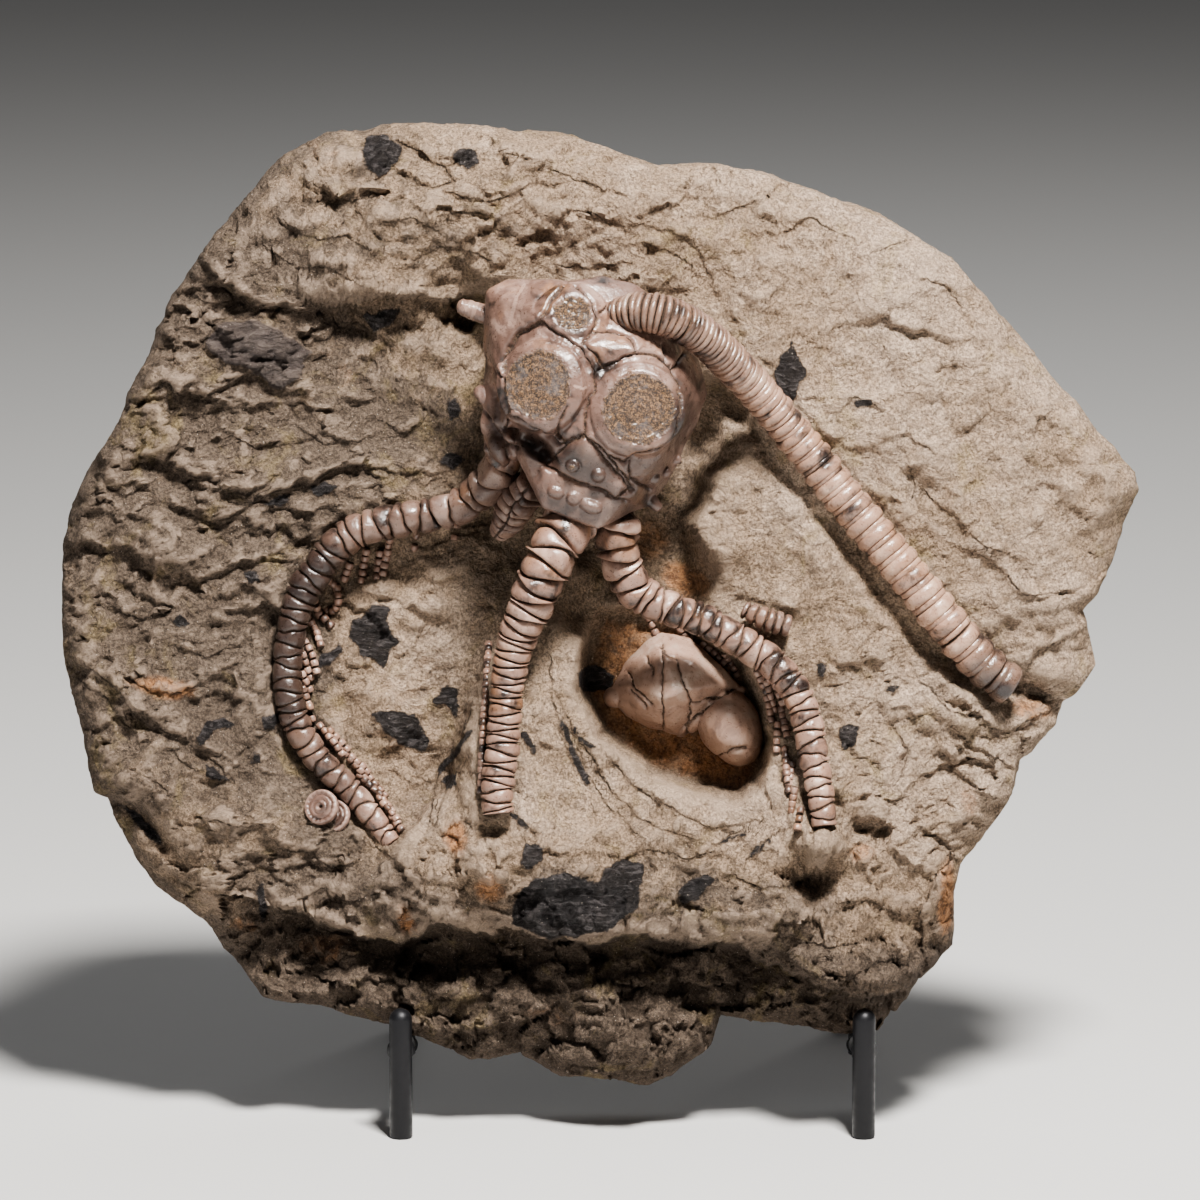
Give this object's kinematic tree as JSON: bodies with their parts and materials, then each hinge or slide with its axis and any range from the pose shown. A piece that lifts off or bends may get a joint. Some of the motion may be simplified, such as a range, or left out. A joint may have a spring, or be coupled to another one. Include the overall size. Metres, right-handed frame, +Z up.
{
  "type": "crinoid fossil",
  "caption": "Sea lily fossil in relief on a siltstone slab, with its cup, stem and curling arms, leaning on a black rod display stand.",
  "frame": {"origin": "bottom centre of the whole's box, on the surface that the four feet stand on", "axes": "+X to the right across the slab's face seen from the front, +Y away from the viewer, +Z up"},
  "size_m": [0.2178, 0.1108, 0.2006],
  "materials": {
    "siltstone": "matte, grainy tan siltstone",
    "cup_calcite": "satin pinkish grey calcite",
    "arm_calcite": "satin pinkish tan calcite",
    "black_steel": "satin black"
  },
  "bodies": {
    "root": {"matrix_slab": "siltstone", "cup": "cup_calcite", "second_cup": "cup_calcite", "column": "arm_calcite", "left_arm": "arm_calcite", "centre_arm": "arm_calcite", "right_arm": "arm_calcite", "arm_stub": "arm_calcite", "spine": "arm_calcite", "loose_columnal": "arm_calcite", "ribbed_fragment": "arm_calcite", "front_leg_left": "black_steel", "front_leg_right": "black_steel", "cradle_rod_left": "black_steel", "cradle_rod_right": "black_steel", "back_post_left": "black_steel", "back_post_right": "black_steel", "rear_leg_left": "black_steel", "rear_leg_right": "black_steel", "low_cross_bar": "black_steel", "high_cross_bar": "black_steel"}
  },
  "joints": []
}
